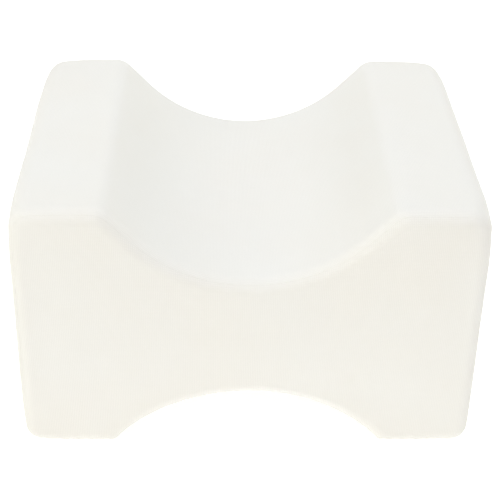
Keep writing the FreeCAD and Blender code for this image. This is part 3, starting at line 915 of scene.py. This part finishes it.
class Nodes:
    """The node tree of a new material or world, with short calls for adding and linking nodes."""

    def __init__(self, name, world=False):
        self.owner = (bpy.data.worlds if world else bpy.data.materials).new(name)
        self.owner.use_nodes = True
        self.tree = self.owner.node_tree
        self.shader = self.tree.nodes["Background" if world else "Principled BSDF"]

    def add(self, kind, values=(), **settings):
        """New node with these sockets and settings."""
        node = self.tree.nodes.new(kind)
        for key, value in settings.items():
            setattr(node, key, value)
        for socket, value in values:
            self.put(node.inputs[socket], value)
        return node

    def put(self, socket, value):
        """Link another node's output to the socket, or give it a value or a colour."""
        if isinstance(value, bpy.types.NodeSocket):
            self.tree.links.new(value, socket)
        else:
            socket.default_value = (*value, 1.0) if socket.type == "RGBA" else value

    def math(self, operation, first, second=0.0):
        return self.add("ShaderNodeMath", [(0, first), (1, second)], operation=operation).outputs[0]

    def set(self, socket, value):
        self.put(self.shader.inputs[socket], value)

    def place(self):
        return self.add("ShaderNodeTexCoord").outputs["Object"]

    def cloth(self):
        """Place on the cloth as it was cut, in millimetres."""
        return self.add("ShaderNodeUVMap", uv_map="cloth").outputs["UV"]

    def split(self, vector):
        return self.add("ShaderNodeSeparateXYZ", [(0, vector)]).outputs

    def sine(self, turns):
        return self.math("SINE", self.math("MULTIPLY", turns, 2.0 * math.pi))

    def noise(self, scale, detail=3.0):
        values = [("Scale", scale), ("Detail", detail), ("Vector", self.place())]
        return self.add("ShaderNodeTexNoise", values).outputs["Fac"]

    def wave(self, scale, distortion, vector=None, direction="X"):
        values = [("Scale", scale), ("Distortion", distortion), ("Vector", vector or self.place())]
        return self.add("ShaderNodeTexWave", values, bands_direction=direction).outputs["Fac"]

    def ramp(self, factor, low, high, start=0.0, end=1.0):
        """From the low number to the high one as the factor goes from its start to its end."""
        values = [("Value", factor), ("From Min", start), ("From Max", end),
                  ("To Min", low), ("To Max", high)]
        return self.add("ShaderNodeMapRange", values).outputs["Result"]

    def tint(self, factor, first, second):
        """From the first colour to the second as the factor goes from 0 to 1."""
        node = self.add("ShaderNodeMix", data_type="RGBA")
        self.put(node.inputs["Factor"], factor)
        self.put(node.inputs["A"], first)
        self.put(node.inputs["B"], second)
        return [out for out in node.outputs if out.type == "RGBA"][0]

    def scaled(self, colour, factor):
        """The colour times a number."""
        node = self.add("ShaderNodeVectorMath", [(0, colour), ("Scale", factor)], operation="SCALE")
        return node.outputs["Vector"]

    def bump(self, height, distance, strength=1.0, under=None):
        values = [("Height", height), ("Distance", distance), ("Strength", strength)]
        node = self.add("ShaderNodeBump", values)
        if under is not None:
            self.put(node.inputs["Normal"], under)
        return node.outputs["Normal"]


def knit_height(nodes):
    """Height of a plain knit's loops over the cloth's own coordinates, in millimetres."""
    place = nodes.split(nodes.cloth())
    across = nodes.math("FRACT", nodes.math("DIVIDE", place["X"], WALE))
    from_middle = nodes.math("ABSOLUTE", nodes.math("SUBTRACT", across, 0.5))
    slant = nodes.math("MULTIPLY", from_middle, LOOP_SLANT)
    loop = nodes.sine(nodes.math("ADD", nodes.math("DIVIDE", place["Y"], COURSE), slant))
    rib = nodes.math("SUBTRACT", 1.0, nodes.math("MULTIPLY", from_middle, RIB_DEEP))
    high = nodes.math("ADD", nodes.math("MULTIPLY", loop, LOOP_HIGH), 1.0 - LOOP_HIGH)
    return nodes.math("MULTIPLY", high, rib)


def cover_knit():
    """Warm white fine knit: soft sheen, faint loops painted darker in their valleys and lighter on their
    crowns, slow changes of tone.
    """
    nodes = Nodes("cover_knit")
    loops = knit_height(nodes)
    slow = nodes.noise(14.0, 2.0)
    fuzz = nodes.noise(2600.0, 2.0)
    cloud = nodes.tint(nodes.ramp(slow, -0.5, 1.5), COVER_WARM, COVER_COOL)
    # Base colour follows the loops' height: painted shade in their valleys and painted light on their
    # crowns; the fuzz share is random tone.
    loop_shade_and_fuzz = nodes.math("ADD", nodes.math("MULTIPLY", loops, 0.8), nodes.math("MULTIPLY", fuzz, 0.2))
    nodes.set("Base Color", nodes.scaled(cloud, nodes.ramp(loop_shade_and_fuzz, LOOP_PAINTED_SHADE, LOOP_PAINTED_LIGHT)))
    nodes.set("Roughness", nodes.ramp(fuzz, 0.80, 0.95))
    nodes.set("Normal", nodes.bump(fuzz, 0.00003, 0.5, nodes.bump(loops, 0.00012, 0.6)))
    nodes.set("Sheen Weight", 0.18)
    nodes.set("Sheen Roughness", 0.45)
    nodes.set("Specular IOR Level", 0.25)
    return nodes.owner


def memory_foam():
    """Cream open-cell foam: small pores, painted dark as shade inside them, in a smooth moulded skin."""
    nodes = Nodes("memory_foam")
    values = [("Scale", 1100.0), ("Vector", nodes.place())]
    cells = nodes.add("ShaderNodeTexVoronoi", values).outputs["Distance"]
    pore_painted_shade = nodes.ramp(cells, 0.0, 1.0)
    # painted shade: the base colour darkens inside the pores, following their bump
    nodes.set("Base Color", nodes.tint(pore_painted_shade, (0.62, 0.56, 0.42), (0.86, 0.82, 0.68)))
    nodes.set("Roughness", nodes.ramp(nodes.noise(500.0), 0.75, 0.95))
    nodes.set("Normal", nodes.bump(cells, 0.0003, 0.6))
    return nodes.owner


def jersey():
    """Thin grey-white knit of the liner, with painted shade between its loops."""
    nodes = Nodes("liner_jersey")
    loops = nodes.wave(700.0, 1.0)
    # painted shade: the base colour darkens in the valleys between the loops, following their bump
    nodes.set("Base Color", nodes.tint(loops, (0.74, 0.74, 0.74), (0.86, 0.86, 0.86)))
    nodes.set("Roughness", nodes.ramp(nodes.noise(900.0), 0.8, 0.95))
    nodes.set("Normal", nodes.bump(loops, 0.00005, 0.5))
    return nodes.owner


def woven_tape():
    """Herringbone tape: diagonal ribs that turn back every few millimetres."""
    nodes = Nodes("zip_tape")
    place = nodes.split(nodes.cloth())
    stripe = nodes.math("PINGPONG", place["Y"], 1.5)
    ribs = nodes.sine(nodes.math("DIVIDE", nodes.math("ADD", place["X"], stripe), 0.55))
    height = nodes.ramp(ribs, 0.0, 1.0)
    # painted shade: the base colour darkens between the ribs, following their bump height
    nodes.set("Base Color", nodes.tint(height, (0.66, 0.64, 0.58), (0.86, 0.84, 0.79)))
    nodes.set("Roughness", nodes.ramp(nodes.noise(700.0), 0.7, 0.9))
    nodes.set("Normal", nodes.bump(height, 0.0001, 0.7))
    return nodes.owner


def nylon():
    """Slightly clear white monofilament."""
    nodes = Nodes("zip_coil")
    speck = nodes.noise(1500.0)
    nodes.set("Base Color", nodes.tint(speck, (0.80, 0.78, 0.72), (0.90, 0.88, 0.83)))
    nodes.set("Roughness", nodes.ramp(speck, 0.25, 0.42))
    nodes.set("Specular IOR Level", 0.5)
    nodes.set("Normal", nodes.bump(speck, 0.00002, 0.3))
    return nodes.owner


def plated_metal():
    """Nickel-plated zinc: fine casting grain, tumbled edges, faint handling wear."""
    nodes = Nodes("zip_metal")
    grain = nodes.noise(2500.0, 4.0)
    wear = nodes.noise(260.0, 3.0)
    nodes.set("Metallic", 1.0)
    nodes.set("Base Color", nodes.tint(wear, (0.44, 0.43, 0.41), (0.58, 0.57, 0.55)))
    nodes.set("Roughness", nodes.ramp(wear, 0.22, 0.40))
    nodes.set("Normal", nodes.bump(grain, 0.00002, 0.35))
    return nodes.owner


def thread():
    """Two-ply polyester thread: slanting ply marks, bumped and painted as shade in the grooves between
    plies, and a soft lustre.
    """
    nodes = Nodes("sewing_thread")
    ply = nodes.wave(900.0, 0.4, direction="DIAGONAL")
    # painted shade: the base colour darkens in the grooves between the plies, following their bump
    nodes.set("Base Color", nodes.tint(ply, (0.70, 0.68, 0.62), (0.88, 0.86, 0.81)))
    nodes.set("Roughness", nodes.ramp(nodes.noise(1200.0), 0.5, 0.7))
    nodes.set("Normal", nodes.bump(ply, 0.00004, 0.6))
    nodes.set("Sheen Weight", 0.2)
    return nodes.owner


def satin():
    """Blank satin ribbon: fine warp lines, bumped and painted as shade, and a directional gloss."""
    nodes = Nodes("label_satin")
    warp = nodes.wave(2.2, 0.6, nodes.cloth(), "Y")
    # painted shade: the base colour darkens along the low warp lines, following their bump
    nodes.set("Base Color", nodes.tint(warp, (0.82, 0.82, 0.80), (0.90, 0.90, 0.88)))
    nodes.set("Roughness", nodes.ramp(nodes.noise(600.0), 0.32, 0.45))
    nodes.set("Normal", nodes.bump(warp, 0.00003, 0.5))
    nodes.set("Sheen Weight", 0.1)
    return nodes.owner


def dress(material, *pieces):
    """Give the pieces this material alone."""
    for piece in pieces:
        piece.data.materials.clear()
        piece.data.materials.append(material)


# -------- stage, light and camera


def camera():
    """Long lens from in front and above, turned as the photographer held it."""
    pitch, yaw, roll = (math.radians(a) for a in (CAMERA_PITCH, CAMERA_YAW, CAMERA_ROLL))
    ahead = Vector((math.sin(yaw) * math.cos(pitch), math.cos(yaw) * math.cos(pitch), -math.sin(pitch)))
    right = Vector((math.cos(yaw), -math.sin(yaw), 0.0))
    up = right.cross(ahead)
    level = Matrix((right, up, -ahead)).transposed()
    turned = level @ Matrix.Rotation(roll, 3, "Z")
    data = bpy.data.cameras.new("camera")
    data.lens = CAMERA_LENS
    data.sensor_width = 36.0
    data.clip_start, data.clip_end = 0.01, 50.0
    eye = linked("camera", data)
    place = (Vector(CAMERA_AIM) - ahead * CAMERA_DISTANCE) * MM
    eye.matrix_world = Matrix.Translation(place) @ turned.to_4x4()
    bpy.context.scene.camera = eye


def floor():
    """Glowing white table top, as under a high-key product shot."""
    nodes = Nodes("floor")
    nodes.set("Base Color", (0.92, 0.92, 0.92))
    nodes.set("Roughness", 1.0)
    nodes.set("Specular IOR Level", 0.0)
    nodes.set("Emission Color", (1.0, 1.0, 1.0))
    nodes.set("Emission Strength", FLOOR_GLOW)
    mesh = bpy.data.meshes.new("floor")
    points = [(x * FLOOR_REACH, y * FLOOR_REACH, 0) for x, y in ((-1, -1), (1, -1), (1, 1), (-1, 1))]
    mesh.from_pydata(points, [], [(0, 1, 2, 3)])
    mesh.materials.append(nodes.owner)
    table = linked("floor", mesh)
    table.location.z = -FLOOR_DROP


def studio():
    """White up to the horizon, and a grey sky above it, brighter ahead of the pillow's front."""
    nodes = Nodes("studio", world=True)
    bpy.context.scene.world = nodes.owner
    direction = nodes.split(nodes.add("ShaderNodeTexCoord").outputs["Generated"])
    ahead = nodes.ramp(direction["Y"], 0.0, 1.0, 1.0, -1.0)
    above = nodes.ramp(direction["Z"], 0.0, 1.0, *HORIZON_GLOW)
    sky = nodes.tint(ahead, SKY_BEHIND, SKY_AHEAD)
    nodes.set("Color", nodes.tint(above, (1.0, 1.0, 1.0), sky))


def lights():
    """Large soft lamps: a cool one overhead, one to the left and one behind on the right."""
    studio()
    for name, (place, size, power, colour) in LAMPS.items():
        data = bpy.data.lights.new(name, "AREA")
        data.shape = "DISK"
        data.size = size
        data.energy = power
        data.color = colour
        lamp = linked(name, data)
        lamp.location = place
        lamp.rotation_mode = "QUATERNION"
        lamp.rotation_quaternion = (Vector(LAMP_AIM) - Vector(place)).to_track_quat("-Z", "Y")
    settings = bpy.context.scene.view_settings
    settings.view_transform = "Standard"
    settings.look = "None"


# -------- build


def cover():
    """All seven cover panels, the right one first."""
    crowns = {"right": SIDE_CROWN, "top": TOP_CROWN, "left": SIDE_CROWN, "bottom": 0.0}
    starts = np.cumsum([0.0] + [run_lengths(RUNS[part][0])[-1] for part in crowns])
    return [
        *(band_panel(f"cover_{part}_panel_cloth", RUNS[part], start, crown)
          for (part, crown), start in zip(crowns.items(), starts)),
        end_panel("cover_front_panel_cloth", -1.0, "whole"),
        end_panel("cover_back_upper_panel_cloth", 1.0, "upper"),
        end_panel("cover_back_lower_panel_cloth", 1.0, "lower"),
    ]


camera()
floor()
lights()
BULGE = simulated_bulge()
panels = cover()
dress(cover_knit(), *panels)
foam = foam_block()
dress(memory_foam(), foam)
dress(jersey(), liner_sock(foam))
dress(woven_tape(), zip_tape("zip_tape_upper_woven", "zip_tape_upper", 1.0),
      zip_tape("zip_tape_lower_woven", "zip_tape_lower", -1.0))
dress(nylon(), zip_coil("zip_coil_upper_turns", "zip_coil_upper", 1.0, 0.0),
      zip_coil("zip_coil_lower_turns", "zip_coil_lower", -1.0, COIL_PITCH / 2.0))
dress(plated_metal(),
      metal_piece("zip_slider_cast", "zip_slider_body", SLIDER, 0.22),
      metal_piece("zip_pull_tab_stamped", "zip_pull_tab", PULL, 0.18),
      metal_piece("zip_top_stop_clips", "zip_top_stops", PILLOW, 0.45),
      metal_piece("zip_bottom_stop_clip", "zip_bottom_stop", PILLOW, 0.45))
dress(thread(),
      topstitch("zip_topstitch_upper_thread", "zip_topstitch_upper", 1.0),
      topstitch("zip_topstitch_lower_thread", "zip_topstitch_lower", -1.0),
      coil_stitches("zip_coil_upper_stitches", 1.0, "zip_coil_upper"),
      coil_stitches("zip_coil_lower_stitches", -1.0, "zip_coil_lower"),
      bar_tacks())
dress(satin(), care_label(panels[0]))
